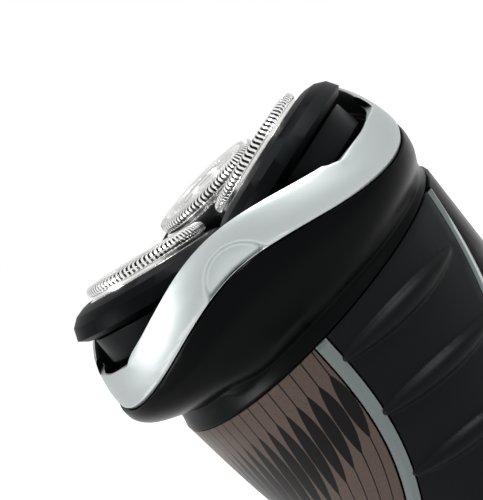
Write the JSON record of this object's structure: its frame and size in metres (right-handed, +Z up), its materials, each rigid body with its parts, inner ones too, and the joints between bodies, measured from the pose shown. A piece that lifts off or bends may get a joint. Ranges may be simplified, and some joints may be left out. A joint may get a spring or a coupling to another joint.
{
  "type": "electric shaver",
  "caption": "Cordless rotary electric shaver: rounded triangular shaving unit with tilting round heads on a curved handle, with a flip-out trimmer on the back.",
  "frame": {"origin": "centre of the flat bottom face that the shaver stands on", "axes": "+Z up along the handle toward the shaving heads, -Y toward the front with the power button, +X to the right of someone facing the front"},
  "size_m": [0.0712, 0.0713, 0.1605],
  "materials": {
    "satin_black": "satin moulded plastic with a fine grain",
    "gloss_black": "polished black plastic",
    "charcoal": "charcoal satin plastic",
    "silver": "satin silver",
    "trim": "satin silver, slightly darker",
    "bronze": "bronze metallic with thin black lines",
    "steel": "polished and brushed steel",
    "nylon": "natural nylon",
    "board": "green circuit board",
    "cell": "shrink-wrapped battery cell",
    "window": "dark smoked window",
    "rubber": "soft black rubber"
  },
  "bodies": {
    "handle": {"front_shell": "satin_black", "back_shell": "satin_black", "front_panel": "bronze", "inner_trim": "trim", "grip": "satin_black", "outer_trim": "trim", "back_cover": "gloss_black", "display_window": "window", "circuit_board": "board", "display_module": "board", "power_switch": "satin_black", "switch_board": "board", "battery": "cell", "motor": "steel", "motor_cradle": "nylon", "top_plate": "satin_black", "neck_seal": "rubber", "top_screw_1": "steel", "top_screw_2": "steel", "top_screw_3": "steel", "bottom_cap": "gloss_black", "charging_pin_1": "steel", "charging_pin_2": "steel", "charging_socket": "satin_black", "trimmer_hinge_pin": "steel"},
    "motor_rotor": {"motor_armature": "steel"},
    "button": {"power_button": "silver"},
    "release": {"trimmer_release": "charcoal"},
    "trimmer": {"trimmer_arm": "gloss_black", "trimmer_comb": "steel"},
    "trimmer_cutter": {"trimmer_blade": "steel"},
    "head": {"head_skirt": "gloss_black", "trim_ring": "silver", "gear_deck": "satin_black", "head_base": "satin_black", "tilt_pin_front_a": "steel", "tilt_pin_front_b": "steel", "tilt_pin_right_a": "steel", "tilt_pin_right_b": "steel", "tilt_pin_left_a": "steel", "tilt_pin_left_b": "steel"},
    "sun": {"sun_gear": "nylon"},
    "lobe_front": {"lobe_cover_front": "charcoal", "hair_chamber_front": "satin_black"},
    "shaving_guard_front": {"guard_front": "steel"},
    "rotary_cutter_front": {"cutter_front": "steel"},
    "drive_front": {"drive_spindle_front": "steel", "planet_gear_front": "nylon"},
    "lobe_right": {"lobe_cover_right": "charcoal", "hair_chamber_right": "satin_black"},
    "shaving_guard_right": {"guard_right": "steel"},
    "rotary_cutter_right": {"cutter_right": "steel"},
    "drive_right": {"drive_spindle_right": "steel", "planet_gear_right": "nylon"},
    "lobe_left": {"lobe_cover_left": "charcoal", "hair_chamber_left": "satin_black"},
    "shaving_guard_left": {"guard_left": "steel"},
    "rotary_cutter_left": {"cutter_left": "steel"},
    "drive_left": {"drive_spindle_left": "steel", "planet_gear_left": "nylon"}
  },
  "joints": [
    {"name": "head_pull_off", "type": "slide", "parent": "handle", "child": "head", "axis": [0, 0, 1], "range_m": [0, 0.03]},
    {"name": "motor_spin", "type": "hinge", "parent": "handle", "child": "motor_rotor", "pos_m": [0, 0, 0.12], "axis": [0, 0, 1], "continuous": true},
    {"name": "sun_spin", "type": "hinge", "parent": "head", "child": "sun", "pos_m": [0, 0, 0.136], "axis": [0, 0, 1], "continuous": true},
    {"name": "power_press", "type": "slide", "parent": "handle", "child": "button", "axis": [0, 1, 0], "range_m": [0, 0.0006], "stiffness_N_per_m": 800},
    {"name": "release_slide", "type": "slide", "parent": "handle", "child": "release", "axis": [0, 0, -1], "range_m": [0, 0.0009], "stiffness_N_per_m": 300},
    {"name": "trimmer_swing", "type": "hinge", "parent": "handle", "child": "trimmer", "pos_m": [0, 0.03001, 0.119], "axis": [1, 0, 0], "range_deg": [0, 78]},
    {"name": "trimmer_stroke", "type": "slide", "parent": "trimmer", "child": "trimmer_cutter", "axis": [1, 0, 0], "range_m": [-0.0008, 0.0008]},
    {"name": "lobe_tilt_front", "type": "hinge", "parent": "head", "child": "lobe_front", "pos_m": [0, -0.012, 0.1458], "axis": [1, 0, 0], "range_deg": [0, 15.8], "stiffness_Nm_per_rad": 0.05, "springref_deg": -3.44},
    {"name": "guard_float_front", "type": "slide", "parent": "lobe_front", "child": "shaving_guard_front", "axis": [0, -0.2723, -0.9622], "range_m": [0, 0.0008], "stiffness_N_per_m": 500},
    {"name": "cutter_spin_front", "type": "hinge", "parent": "shaving_guard_front", "child": "rotary_cutter_front", "pos_m": [0, -0.01818, 0.1473], "axis": [0, 0.2723, 0.9622], "continuous": true},
    {"name": "drive_spin_front", "type": "hinge", "parent": "head", "child": "drive_front", "pos_m": [0, -0.01815, 0.136], "axis": [0, 0, 1], "continuous": true},
    {"name": "lobe_tilt_right", "type": "hinge", "parent": "head", "child": "lobe_right", "pos_m": [0.01039, 0.006, 0.1458], "axis": [-0.5, 0.866, 0], "range_deg": [0, 15.8], "stiffness_Nm_per_rad": 0.05, "springref_deg": -3.44},
    {"name": "guard_float_right", "type": "slide", "parent": "lobe_right", "child": "shaving_guard_right", "axis": [0.2358, 0.1361, -0.9622], "range_m": [0, 0.0008], "stiffness_N_per_m": 500},
    {"name": "cutter_spin_right", "type": "hinge", "parent": "shaving_guard_right", "child": "rotary_cutter_right", "pos_m": [0.01575, 0.00909, 0.1473], "axis": [-0.2358, -0.1361, 0.9622], "continuous": true},
    {"name": "drive_spin_right", "type": "hinge", "parent": "head", "child": "drive_right", "pos_m": [0.01572, 0.00907, 0.136], "axis": [0, 0, 1], "continuous": true},
    {"name": "lobe_tilt_left", "type": "hinge", "parent": "head", "child": "lobe_left", "pos_m": [-0.01039, 0.006, 0.1458], "axis": [-0.5, -0.866, 0], "range_deg": [-15.3, 0.5]},
    {"name": "guard_float_left", "type": "slide", "parent": "lobe_left", "child": "shaving_guard_left", "axis": [-0.0076, 0.0044, -1], "range_m": [0, 0.0008], "stiffness_N_per_m": 500},
    {"name": "cutter_spin_left", "type": "hinge", "parent": "shaving_guard_left", "child": "rotary_cutter_left", "pos_m": [-0.0159, 0.00918, 0.14561], "axis": [0.0076, -0.0044, 1], "continuous": true},
    {"name": "drive_spin_left", "type": "hinge", "parent": "head", "child": "drive_left", "pos_m": [-0.01572, 0.00907, 0.136], "axis": [0, 0, 1], "continuous": true}
  ],
  "couplings": [
    {"joint": "sun_spin", "follows": "motor_spin", "ratio": 1},
    {"joint": "drive_spin_front", "follows": "motor_spin", "ratio": -1.2},
    {"joint": "cutter_spin_front", "follows": "motor_spin", "ratio": -1.2},
    {"joint": "drive_spin_right", "follows": "motor_spin", "ratio": -1.2},
    {"joint": "cutter_spin_right", "follows": "motor_spin", "ratio": -1.2},
    {"joint": "drive_spin_left", "follows": "motor_spin", "ratio": -1.2},
    {"joint": "cutter_spin_left", "follows": "motor_spin", "ratio": -1.2}
  ]
}
